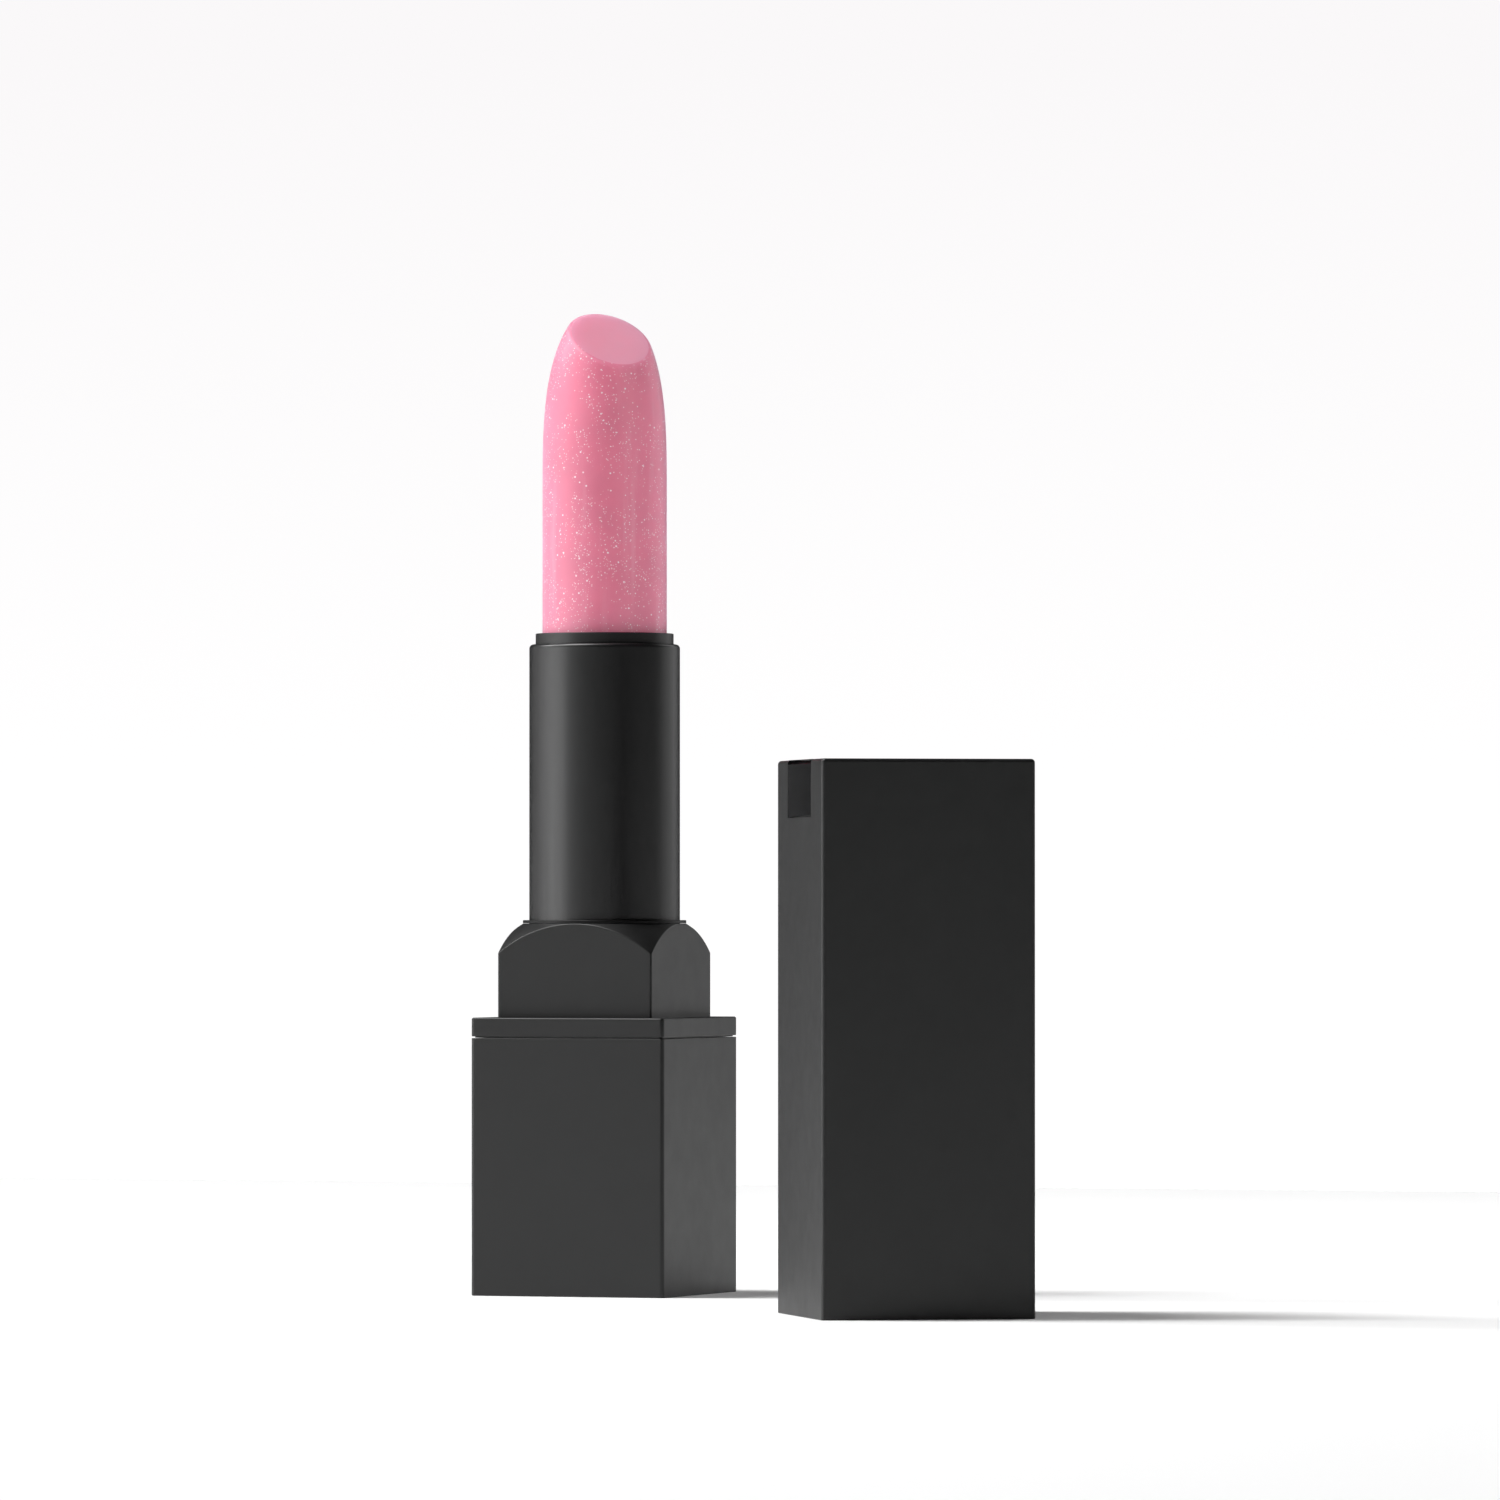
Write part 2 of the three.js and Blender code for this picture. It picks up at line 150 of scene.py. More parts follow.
# Cap: its turn, edges, walls and liner, and the inlay with the groove near its top.
CAP_YAW = math.radians(32.33)
CAP_EDGE = 0.35 * MM
CAP_RIM_EDGE = 0.08 * MM
CAP_WALL = 0.9 * MM
CAP_ROOF = 1.16 * MM
LINER_CORNER = 0.25 * MM
LINER_BORE_HALF = 8.3 * MM
LINER_ROOF = 1.1 * MM
LINER_CHAMFER = 0.25 * MM
FIT_GAP = 0.1 * MM
INLAY_WIDTH = 10.3 * MM
INLAY_LOW = 45.92 * MM
INLAY_REACH = 5.24 * MM
INLAY_THICKNESS = 0.5 * MM
INLAY_GAP = 0.08 * MM
INLAY_LIP = 0.07 * MM
INLAY_GROOVE = 0.44 * MM
INLAY_GROOVE_FOOT = 0.2 * MM
INLAY_GROOVE_LOW = 0.4 * MM
INLAY_BEVEL = 0.03 * MM
INLAY_BEVEL_STEPS = 2

# Camera: its turn from -Y towards +X, its place and pitch, and its lens and sensor in millimetres.
CAMERA_TURN = math.radians(20.8)
CAMERA_PLACE = Vector((0.4029, -1.0208, 0.03785))
CAMERA_PITCH = math.radians(0.785)
CAMERA_LENS = 270.6
SENSOR = 36
CLIP_NEAR = 0.01
CLIP_FAR = 100

# Set: lights stand round its middle, in degrees to the right of the camera and above level.
SET_MIDDLE = Vector((0.02, -0.02, 0.03))
LIGHT_DISTANCE = 0.9
LEFT = -90
PAPER_HALF = 0.42
PAPER_SUN = 0.36
PAPER_SUN_SPREAD = 14
PAPER_SUN_ELEVATION = 58
BACKDROP_LOW = -0.006
BACKDROP_HIGH = 0.075
BACKDROP_WHITE = (1.02, 1.02, 1.02, 1)
BACKDROP_TOP = (0.956, 0.939, 0.947, 1)


# ---------------------------------------------------------------- mesh helpers

def mesh_object(name, verts, faces):
    mesh = bpy.data.meshes.new(name)
    mesh.from_pydata(verts, [], faces)
    mesh.validate()
    shape = bmesh.new()
    shape.from_mesh(mesh)
    bmesh.ops.recalc_face_normals(shape, faces=shape.faces)
    shape.to_mesh(mesh)
    shape.free()
    obj = bpy.data.objects.new(name, mesh)
    bpy.context.scene.collection.objects.link(obj)
    return obj


def loft(name, rings, closed=False):
    """Skin over rings of equal length. An open loft is closed by a flat face at each end."""
    count = len(rings[0])
    verts = [point for ring in rings for point in ring]
    faces = []
    for r in range(len(rings) if closed else len(rings) - 1):
        low = r * count
        high = (r + 1) % len(rings) * count
        for i in range(count):
            j = (i + 1) % count
            faces.append((low + i, low + j, high + j, high + i))
    if not closed:
        faces.append(tuple(reversed(range(count))))
        faces.append(tuple(range(len(verts) - count, len(verts))))
    return mesh_object(name, verts, faces)


def smooth(obj):
    """Smooth shading that keeps edges sharper than SHARP_ANGLE, with flat faces kept flat."""
    obj.data.shade_smooth()
    obj.data.set_sharp_from_angle(angle=SHARP_ANGLE)
    weighted = obj.modifiers.new("flat faces", "WEIGHTED_NORMAL")
    weighted.keep_sharp = True
    weighted.weight = 100


def round_ring(radius, z):
    return [(radius * math.cos(TURN * i / ROUND_STEPS), radius * math.sin(TURN * i / ROUND_STEPS), z)
            for i in range(ROUND_STEPS)]


def outline(half, corner):
    """Points of a rounded square: along one side and round its corner, four times."""
    points = []
    middle = half - corner
    for quarter in range(4):
        turned = Matrix.Rotation(quarter * TURN / 4, 2)
        for i in range(SIDE_STEPS):
            points.append(turned @ Vector((half, middle * (2 * i / SIDE_STEPS - 1))))
        for i in range(CORNER_STEPS):
            angle = TURN / 4 * i / CORNER_STEPS
            spot = Vector((middle + corner * math.cos(angle), middle + corner * math.sin(angle)))
            points.append(turned @ spot)
    return points


def square_ring(half, corner, z):
    return [(p.x, p.y, z) for p in outline(half, max(corner, SMALLEST_CORNER))]


def ring_on_outline(radius, z):
    """A circle whose points lie in the same directions as those of the neck's outline."""
    return [(p.x, p.y, z) for p in (q.normalized() * radius for q in outline(NECK_HALF, NECK_CORNER))]


def edge_arc(outer, size, level, start, end):
    """(distance from axis, height) round an edge: angle 0 faces outward and 90 degrees faces up."""
    points = []
    for i in range(EDGE_STEPS + 1):
        angle = math.radians(start + (end - start) * i / EDGE_STEPS)
        points.append((outer - size + size * math.cos(angle), level + size * math.sin(angle)))
    return points


def square_edge(half, corner, size, level, start, end):
    """Rings round a rounded edge of a square prism."""
    return [square_ring(out, corner - (half - out), z)
            for out, z in edge_arc(half, size, level, start, end)]


def round_edge(radius, size, level, start, end):
    return [round_ring(out, z) for out, z in edge_arc(radius, size, level, start, end)]


def bend(low, peak, high, part):
    """A point part of the way along the soft bend from low to high, drawn towards peak."""
    return low.lerp(peak, part).lerp(peak.lerp(high, part), part)


def cut(obj, cutter):
    """Takes the cutter out of obj, and removes the cutter."""
    boolean = obj.modifiers.new("cut", "BOOLEAN")
    boolean.object = cutter
    boolean.solver = "EXACT"
    bpy.context.view_layer.update()
    evaluated = obj.evaluated_get(bpy.context.evaluated_depsgraph_get())
    mesh = bpy.data.meshes.new_from_object(evaluated)
    obj.modifiers.clear()
    obj.data = mesh
    bpy.data.objects.remove(cutter)


def block(name, low, high):
    verts = [(x, y, z) for x in (low[0], high[0]) for y in (low[1], high[1]) for z in (low[2], high[2])]
    faces = [(0, 1, 3, 2), (4, 6, 7, 5), (0, 4, 5, 1), (2, 3, 7, 6), (0, 2, 6, 4), (1, 5, 7, 3)]
    return mesh_object(name, verts, faces)


# ---------------------------------------------------------------- material helpers

class Nodes:
    """A material's node tree, with short calls for the nodes used here."""

    def __init__(self, name):
        self.material = bpy.data.materials.new(name)
        self.material.use_nodes = True
        self.tree = self.material.node_tree
        self.shader = self.tree.nodes["Principled BSDF"]
        self.place = self.tree.nodes.new("ShaderNodeTexCoord").outputs["Object"]

    def set(self, **values):
        for name, value in values.items():
            self.shader.inputs[name.replace("_", " ")].default_value = value

    def link(self, output, target):
        self.tree.links.new(output, target)

    def stretched(self, scale, tilt=(0, 0, 0)):
        node = self.tree.nodes.new("ShaderNodeMapping")
        node.inputs["Scale"].default_value = scale
        node.inputs["Rotation"].default_value = tilt
        self.link(self.place, node.inputs["Vector"])
        return node.outputs["Vector"]

    def noise(self, scale, detail=3, vector=None):
        node = self.tree.nodes.new("ShaderNodeTexNoise")
        node.inputs["Scale"].default_value = scale
        node.inputs["Detail"].default_value = detail
        self.link(vector or self.place, node.inputs["Vector"])
        return node.outputs["Fac"]

    def cells(self, scale):
        node = self.tree.nodes.new("ShaderNodeTexVoronoi")
        node.inputs["Scale"].default_value = scale
        self.link(self.place, node.inputs["Vector"])
        return node.outputs["Distance"], node.outputs["Color"]

    def ramp(self, value, low, high, to_low=0.0, to_high=1.0):
        node = self.tree.nodes.new("ShaderNodeMapRange")
        self.link(value, node.inputs["Value"])
        for name, number in zip(("From Min", "From Max", "To Min", "To Max"),
                                (low, high, to_low, to_high)):
            node.inputs[name].default_value = number
        return node.outputs["Result"]

    def height(self):
        node = self.tree.nodes.new("ShaderNodeSeparateXYZ")
        self.link(self.place, node.inputs["Vector"])
        return node.outputs["Z"]

    def pair(self, operation, first, second):
        node = self.tree.nodes.new("ShaderNodeMath")
        node.operation = operation
        for value, socket in zip((first, second), node.inputs):
            self.link(value, socket)
        return node.outputs["Value"]

    def times(self, first, second):
        return self.pair("MULTIPLY", first, second)

    def largest(self, first, second):
        return self.pair("MAXIMUM", first, second)

    def mix(self, factor, first, second):
        node = self.tree.nodes.new("ShaderNodeMix")
        node.data_type = "RGBA"
        self.link(factor, node.inputs["Factor"])
        for value, socket in ((first, node.inputs[6]), (second, node.inputs[7])):
            if isinstance(value, tuple):
                socket.default_value = (*value, 1)
            else:
                self.link(value, socket)
        return node.outputs[2]

    def bump(self, height, distance, under=None):
        node = self.tree.nodes.new("ShaderNodeBump")
        node.inputs["Distance"].default_value = distance
        self.link(height, node.inputs["Height"])
        if under is not None:
            self.link(under, node.inputs["Normal"])
        return node.outputs["Normal"]

    def finish(self, color, roughness, normal):
        self.link(color, self.shader.inputs["Base Color"])
        self.link(roughness, self.shader.inputs["Roughness"])
        self.link(normal, self.shader.inputs["Normal"])
        return self.material


def scaled(color, factor):
    return tuple(channel * factor for channel in color)


def satin_plastic(name, color, roughness, grain=0.0016 * MM):
    """Moulded or soft-touch plastic: fine grain, soft cloudiness in tone and gloss."""
    nodes = Nodes(name)
    nodes.set(Specular_IOR_Level=0.6)
    cloud = nodes.noise(160)
    grit = nodes.noise(9000, detail=2)
    swell = nodes.noise(1400, detail=2)
    tone = nodes.mix(nodes.ramp(cloud, 0.3, 0.7), scaled(color, 0.9), scaled(color, 1.1))
    gloss = nodes.ramp(nodes.noise(420), 0.25, 0.75, roughness - 0.03, roughness + 0.03)
    relief = nodes.bump(swell, 0.5 * grain)
    return nodes.finish(tone, gloss, nodes.bump(grit, grain, under=relief))


def painted_metal(name, color, roughness, specular=0.675):
    """Satin black on a drawn aluminium tube: faint draw lines along it under the lacquer."""
    nodes = Nodes(name)
    nodes.set(Specular_IOR_Level=specular)
    lines = nodes.noise(1, detail=3, vector=nodes.stretched((5200, 5200, 60)))
    cloud = nodes.noise(200)
    grit = nodes.noise(11000, detail=2)
    tone = nodes.mix(nodes.ramp(cloud, 0.3, 0.7), scaled(color, 0.88), scaled(color, 1.12))
    gloss = nodes.ramp(lines, 0.3, 0.7, roughness - 0.025, roughness + 0.025)
    relief = nodes.bump(lines, 0.0006 * MM)
    return nodes.finish(tone, gloss, nodes.bump(grit, 0.0008 * MM, under=relief))


def gloss_plastic(name, color, roughness):
    """Polished plastic with the finest of orange peel."""
    nodes = Nodes(name)
    nodes.set(Specular_IOR_Level=0.4)
    cloud = nodes.noise(300)
    tone = nodes.mix(nodes.ramp(cloud, 0.3, 0.7), scaled(color, 0.92), scaled(color, 1.08))
    gloss = nodes.ramp(nodes.noise(900), 0.3, 0.7, roughness - 0.02, roughness + 0.03)
    return nodes.finish(tone, gloss, nodes.bump(nodes.noise(1500, detail=1), 0.0008 * MM))


def steel(name, color):
    """Sheared steel plate: rolling lines and a few darker stains."""
    nodes = Nodes(name)
    nodes.set(Metallic=1.0)
    lines = nodes.noise(1, detail=4, vector=nodes.stretched((120, 5000, 5000)))
    stain = nodes.noise(500)
    tone = nodes.mix(nodes.ramp(stain, 0.45, 0.75), color, scaled(color, 0.6))
    gloss = nodes.ramp(lines, 0.3, 0.7, 0.28, 0.45)
    return nodes.finish(tone, gloss, nodes.bump(lines, 0.002 * MM))


def rubber(name, color):
    """Greased rubber ring, dull with wet patches."""
    nodes = Nodes(name)
    patch = nodes.noise(700)
    tone = nodes.mix(nodes.ramp(patch, 0.4, 0.6), color, scaled(color, 1.5))
    gloss = nodes.ramp(patch, 0.4, 0.6, 0.75, 0.4)
    return nodes.finish(tone, gloss, nodes.bump(nodes.noise(6000), 0.002 * MM))


def wax_body(nodes):
    """Light that enters the wax and comes out a little way off, which softens its shading."""
    nodes.set(Specular_IOR_Level=WAX_GLOSS, Subsurface_Weight=WAX_DEPTH)
    nodes.set(Subsurface_Scale=WAX_REACH, Subsurface_Radius=WAX_REACH_SHARES)
    nodes.set(Sheen_Weight=WAX_SHEEN, Sheen_Roughness=WAX_SHEEN_ROUGHNESS, Sheen_Tint=WAX_GLOW)


def wax(name, color):
    """Pearly lipstick wax: drawn streaks, soft mottling and fine shimmer flakes, painted near-white as
    glints of light off them.
    """
    nodes = Nodes(name)
    wax_body(nodes)
    streaks = nodes.noise(1, detail=3, vector=nodes.stretched((800, 800, 60), tilt=(0.1, 0.06, 0)))
    mottle = nodes.noise(210, detail=4)
    tone = nodes.mix(nodes.ramp(mottle, 0.35, 0.65), scaled(color, 0.96), scaled(color, 1.04))
    tone = nodes.mix(nodes.ramp(streaks, 0.58, 0.75, 0, 0.3), tone, WAX_PALE)
    # Flakes painted near-white: painted glints, the light the shimmer catches, put into the wax's
    # colour.
    tone = nodes.mix(wax_flake_glints(nodes), tone, WAX_FLAKE_GLINT)
    gloss = nodes.ramp(mottle, 0.3, 0.7, 0.42, 0.54)
    relief = nodes.bump(streaks, 0.006 * MM)
    return nodes.finish(tone, gloss, nodes.bump(mottle, 0.01 * MM, under=relief))


def wax_flake_glints(nodes):
    """Mask of round flakes of three sizes, thicker in drifts and towards the foot of the stick, where
    painted glints go.
    """
    drift = nodes.ramp(nodes.noise(170, detail=2), 0.35, 0.6, 0.4, 1)
    foot = nodes.ramp(nodes.height(), WAX_FOOT, WAX_TIP, 1, 0.6)
    plenty = nodes.times(drift, foot)
    flakes = None
    for scale, size, least in FLAKES:
        near, pick = nodes.cells(scale)
        chosen = nodes.ramp(nodes.times(pick, plenty), least, least + PICK_SOFTNESS)
        flake = nodes.times(nodes.ramp(near, size, size * FLAKE_SOFTNESS), chosen)
        flakes = flake if flakes is None else nodes.largest(flakes, flake)
    return flakes


def cut_wax(name, color):
    """The smooth cut face, with faint drag lines and no flakes. Its paler colour, given by the caller,
    is painted sheen: the light the upturned face catches.
    """
    nodes = Nodes(name)
    wax_body(nodes)
    drag = nodes.noise(1, detail=3, vector=nodes.stretched((200, 2200, 2200)))
    cloud = nodes.noise(180)
    tone = nodes.mix(nodes.ramp(cloud, 0.35, 0.65), scaled(color, 0.985), scaled(color, 1.015))
    return nodes.finish(tone, nodes.ramp(cloud, 0.3, 0.7, 0.46, 0.54), nodes.bump(drag, 0.004 * MM))


# ---------------------------------------------------------------- pieces

def paint(obj, material):
    obj.data.materials.clear()
    obj.data.materials.append(material)


def show(obj, body, node, material):
    """Puts a finished piece on its CAD body in place of its CAD node."""
    paint(obj, material)
    smooth(obj)
    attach(obj, body)
    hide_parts(node)
    return obj


def half_width(node):
    low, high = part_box(node)
    return (high.x - low.x) / 2


def make_base_shell(material):
    low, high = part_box("base_shell")
    half = half_width("base_shell")
    top = high.z - SEAM_EASE
    rings = square_edge(half, CORNER_RADIUS, FOOT_EDGE, low.z + FOOT_EDGE, -90, 0)
    rings += square_edge(half, CORNER_RADIUS, SEAM_EDGE, top - SEAM_EDGE, 0, 90)
    rings.append(square_ring(half - BASE_WALL, CORNER_RADIUS, top))
    rings.append(square_ring(half - BASE_WALL, CORNER_RADIUS, low.z + BASE_FLOOR))
    return show(loft("base_shell_look", rings), "base", "base_shell", material)


def dome_height(distance):
    return DOME_CENTRE + math.sqrt(DOME_RADIUS ** 2 - distance ** 2)


def crease_reach(distance):
    """How far the soft crease reaches each way, less where the wall is close to the flat top."""
    return min(CREASE, CREASE_SHARE * (distance - DOME_TOP_RADIUS))


def crease_ring(wall, part):
    """One ring over the soft crease between the neck's walls (part 0) and its dome (part 1)."""
    ring = []
    for spot in wall:
        reach = spot.length
        soft = crease_reach(reach)
        low = Vector((reach, dome_height(reach) - soft))
        peak = Vector((reach, dome_height(reach)))
        high = Vector((reach - soft, dome_height(reach - soft)))
        bent = bend(low, peak, high, part)
        out = spot.normalized() * bent.x
        ring.append((out.x, out.y, bent.y))
    return ring


def dome_ring(wall, part):
    """One ring across the dome, from the crease (part 0) to the flat round top (part 1)."""
    ring = []
    for spot in wall:
        start = spot.length - crease_reach(spot.length)
        distance = start + (DOME_TOP_RADIUS - start) * part
        out = spot.normalized() * distance
        ring.append((out.x, out.y, dome_height(distance)))
    return ring


def make_neck(material):
    low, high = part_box("neck")
    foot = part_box("collar")[0].z
    wall = outline(NECK_HALF, NECK_CORNER)
    rings = [ring_on_outline(NECK_BORE, low.z), ring_on_outline(SPIGOT_RADIUS, low.z),
             ring_on_outline(SPIGOT_RADIUS, foot), square_ring(NECK_HALF, NECK_CORNER, foot)]
    rings += [crease_ring(wall, i / EDGE_STEPS) for i in range(EDGE_STEPS + 1)]
    rings += [dome_ring(wall, i / DOME_RINGS) for i in range(1, DOME_RINGS + 1)]
    rings.append(ring_on_outline(NECK_BORE, high.z))
    neck = loft("neck_look", rings, closed=True)
    return show(neck, "upper", "neck", material)


def make_collar(material):
    """The square plate, with a step under it that shuts the seam a little way in."""
    low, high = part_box("collar")
    half = half_width("collar")
    bottom = low.z + SEAM_EASE
    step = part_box("base_shell")[1].z + SEAM_PLAY
    rings = [square_ring(FRAME_HALF, FRAME_CORNER, step),
             square_ring(half - SEAM_DEPTH, CORNER_RADIUS, step),
             square_ring(half - SEAM_DEPTH, CORNER_RADIUS, bottom)]
    rings += square_edge(half, CORNER_RADIUS, SEAM_EDGE, bottom + SEAM_EDGE, -90, 0)
    rings += square_edge(half, CORNER_RADIUS, PLATE_EDGE, high.z - PLATE_EDGE, 0, 90)
    rings.append(square_ring(FRAME_HALF, FRAME_CORNER, high.z))
    collar = loft("collar_look", rings, closed=True)
    return show(collar, "upper", "collar", material)


def make_neck_ring(material):
    low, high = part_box("neck_ring")
    outer = half_width("neck_ring")
    rings = [round_ring(NECK_BORE, low.z), round_ring(outer, low.z)]
    rings += round_edge(outer, NECK_RING_EDGE, high.z - NECK_RING_EDGE, 0, 90)
    rings.append(round_ring(NECK_BORE, high.z))
    piece = loft("neck_ring_look", rings, closed=True)
    return show(piece, "upper", "neck_ring", material)


def make_outer_tube(material):
    low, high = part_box("outer_tube")
    outer = half_width("outer_tube")
    shoulder = high.z - TUBE_LIP
    rings = [round_ring(TUBE_INNER, low.z), round_ring(outer, low.z)]
    rings += round_edge(outer, TUBE_EDGE, high.z - TUBE_EDGE, 0, 90)
    rings += [round_ring(TUBE_LIP_RADIUS + TUBE_LIP_CHAMFER, high.z),
              round_ring(TUBE_LIP_RADIUS, high.z - TUBE_LIP_CHAMFER),
              round_ring(TUBE_LIP_RADIUS, shoulder), round_ring(TUBE_INNER, shoulder)]
    tube = loft("outer_tube_look", rings, closed=True)
    return show(tube, "upper", "outer_tube", material)


def make_guide_body(material):
    low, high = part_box("guide_body")
    floor = low.z + STEM_FLOOR
    profile = [(STEM_BORE, floor), (STEM_BORE, GUIDE_BORE_LOW), (GUIDE_BORE, GUIDE_BORE_LOW),
               (GUIDE_BORE, high.z - GUIDE_EDGE), (GUIDE_BORE + GUIDE_EDGE, high.z)]
    profile += edge_arc(GUIDE_RADIUS, GUIDE_EDGE, high.z - GUIDE_EDGE, 90, 0)
    profile += [(GUIDE_RADIUS, BEAD_HIGH), (BEAD_RADIUS, BEAD_HIGH), (BEAD_RADIUS, BEAD_LOW),
                (GUIDE_RADIUS, BEAD_LOW), (GUIDE_RADIUS, STEM_TOP), (STEM_RADIUS, STEM_TOP),
                (STEM_RADIUS, GROOVE_HIGH), (GROOVE_RADIUS, GROOVE_HIGH), (GROOVE_RADIUS, GROOVE_LOW),
                (STEM_RADIUS, GROOVE_LOW), (STEM_RADIUS, low.z)]
    guide = loft("guide_body_look", [round_ring(radius, z) for radius, z in profile])
    reach = 2 * STEM_RADIUS
    side = SLOT_WIDTH / 2
    cut(guide, block("slot", (-reach, -side, SLOT_LOW), (reach, side, SLOT_HIGH)))
    return show(guide, "base", "guide_body", material)


def nose_radius(z):
    part = min(max((z - NOSE_LOW) / NOSE_HEIGHT, 0), 1)
    return BULLET_RADIUS * (1 - part ** NOSE_POWER) ** (1 / NOSE_ROOT)


def slant_height(distance, angle):
    return SLANT_HEIGHT + SLANT_SLOPE * distance * math.cos(angle - SLANT_UPHILL)


def nose_meets_slant(angle):
    """Height at which the nose's side meets the slanted face, in one direction from the axis."""
    low, high = NOSE_LOW, NOSE_LOW + NOSE_HEIGHT
    for _ in range(HALVINGS):
        middle = (low + high) / 2
        if middle < slant_height(nose_radius(middle), angle):
            low = middle
        else:
            high = middle
    return low


def bullet_column(angle):
    """Points up the side in one direction, over the face's soft edge and in to the axis."""
    top = nose_meets_slant(angle)
    rim = nose_radius(top)
    points = []
    for i in range(BULLET_RINGS + 1):
        part = 1 - (1 - i / BULLET_RINGS) ** RING_CROWDING
        z = BULLET_STEP + (top - SLANT_EDGE - BULLET_STEP) * part
        points.append((nose_radius(z), z))
    low = Vector(points[-1])
    peak = Vector((rim, top))
    inner = rim - SLANT_EDGE
    high = Vector((inner, slant_height(inner, angle)))
    for i in range(1, EDGE_STEPS + 1):
        bent = bend(low, peak, high, i / EDGE_STEPS)
        points.append((bent.x, bent.y))
    for i in range(1, FACE_RINGS):
        distance = inner * (1 - i / FACE_RINGS)
        points.append((distance, slant_height(distance, angle)))
    return points


def make_bullet(side_material, face_material):
    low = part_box("lipstick_bullet")[0].z
    angles = [TURN * i / ROUND_STEPS for i in range(ROUND_STEPS)]
    columns = [bullet_column(angle) for angle in angles]
    rings = [round_ring(BULLET_FOOT, low), round_ring(BULLET_FOOT, BULLET_STEP - BULLET_STEP_EASE)]
    for level in range(len(columns[0])):
        rings.append([(column[level][0] * math.cos(angle), column[level][0] * math.sin(angle),
                       column[level][1]) for column, angle in zip(columns, angles)])
    bullet = loft("lipstick_bullet_look", rings)
    show(bullet, "carriage", "lipstick_bullet", side_material)
    bullet.data.materials.append(face_material)
    uphill = Vector((math.cos(SLANT_UPHILL), math.sin(SLANT_UPHILL), 0))
    normal = (Vector((0, 0, 1)) - uphill * SLANT_SLOPE).normalized()
    for polygon in bullet.data.polygons:
        if polygon.normal.dot(normal) > FACE_ALIGNMENT and polygon.center.z > NOSE_LOW:
            polygon.material_index = 1
    return bullet


def turn_with_cap(obj):
    """Carries a mesh made round the origin to the cap's place and turn."""
    low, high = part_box("cap_shell")
    middle = (low + high) / 2
    place = Matrix.Translation((middle.x, middle.y, 0))
    obj.data.transform(place @ Matrix.Rotation(CAP_YAW, 4, "Z"))
    return obj


def inlay_inside(half, top, margin):
    """(x, z) along the back of the L-shaped strip, from its foot to the end of its top leg."""
    return [(-half + INLAY_THICKNESS + margin, INLAY_LOW - margin),
            (-half + INLAY_THICKNESS + margin, top - INLAY_THICKNESS - margin),
            (-half + INLAY_REACH + margin, top - INLAY_THICKNESS - margin)]


def inlay_strip(half, top):
    """(x, z) of the strip. A fine groove with a sloped back runs under the lip of its top leg."""
    return [(-half, INLAY_LOW)] + inlay_inside(half, top, 0) + [
        (-half + INLAY_REACH, top), (-half + INLAY_LIP, top), (-half + INLAY_LIP, top - INLAY_LIP),
        (-half + INLAY_GROOVE, top - INLAY_LIP),
        (-half + INLAY_GROOVE_FOOT, top - INLAY_GROOVE_LOW), (-half, top - INLAY_GROOVE_LOW)]


def inlay_rebate(half, top):
    """(x, z) of the space cut for the strip, open to the outside."""
    return [(-half - PAST, INLAY_LOW - INLAY_GAP)] + inlay_inside(half, top, INLAY_GAP) + [
        (-half + INLAY_REACH + INLAY_GAP, top + PAST), (-half - PAST, top + PAST)]


def across(name, points, side):
    """A prism along Y between -side and side."""
    return loft(name, [[(x, y, z) for x, z in points] for y in (-side, side)])


def cap_half():
    """Half the cap's side, from the box of the turned cap."""
    reach = half_width("cap_shell")
    middle = (reach - CAD_CORNER_RADIUS) / (math.cos(CAP_YAW) + math.sin(CAP_YAW))
    return middle + CAD_CORNER_RADIUS


def make_cap_shell(material):
    low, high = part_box("cap_shell")
    half = cap_half()
    inside = half - CAP_WALL
    rings = [square_ring(inside, LINER_CORNER, high.z - CAP_ROOF),
             square_ring(inside, LINER_CORNER, low.z + CAP_RIM_EDGE),
             square_ring(inside + CAP_RIM_EDGE, LINER_CORNER, low.z)]
    rings += square_edge(half, CORNER_RADIUS, CAP_RIM_EDGE, low.z + CAP_RIM_EDGE, -90, 0)
    rings += square_edge(half, CORNER_RADIUS, CAP_EDGE, high.z - CAP_EDGE, 0, 90)
    shell = loft("cap_shell_look", rings)
    cut(shell, across("rebate", inlay_rebate(half, high.z), INLAY_WIDTH / 2 + INLAY_GAP))
    return show(turn_with_cap(shell), "cap", "cap_shell", material)


def make_cap_inlay(material):
    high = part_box("cap_shell")[1]
    inlay = across("cap_inlay_look", inlay_strip(cap_half(), high.z), INLAY_WIDTH / 2)
    bevel = inlay.modifiers.new("edges", "BEVEL")
    bevel.width = INLAY_BEVEL
    bevel.segments = INLAY_BEVEL_STEPS
    bevel.limit_method = "ANGLE"
    return show(turn_with_cap(inlay), "cap", "cap_inlay", material)


def make_cap_liner(material):
    low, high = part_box("cap_liner")
    outer = cap_half() - CAP_WALL - FIT_GAP
    ceiling = high.z - LINER_ROOF
    rings = [square_ring(LINER_BORE_HALF, LINER_CORNER, ceiling),
             square_ring(LINER_BORE_HALF, LINER_CORNER, low.z + LINER_CHAMFER),
             square_ring(LINER_BORE_HALF + LINER_CHAMFER, LINER_CORNER, low.z),
             square_ring(outer, LINER_CORNER, low.z), square_ring(outer, LINER_CORNER, high.z)]
    liner = loft("cap_liner_look", rings)
    return show(turn_with_cap(liner), "cap", "cap_liner", material)


# ---------------------------------------------------------------- stage, lights, camera

def only_for(light, obj):
    """Lets a light reach one object alone."""
    reached = bpy.data.collections.new(light.name + "_reach")
    reached.objects.link(obj)
    light.light_linking.receiver_collection = reached


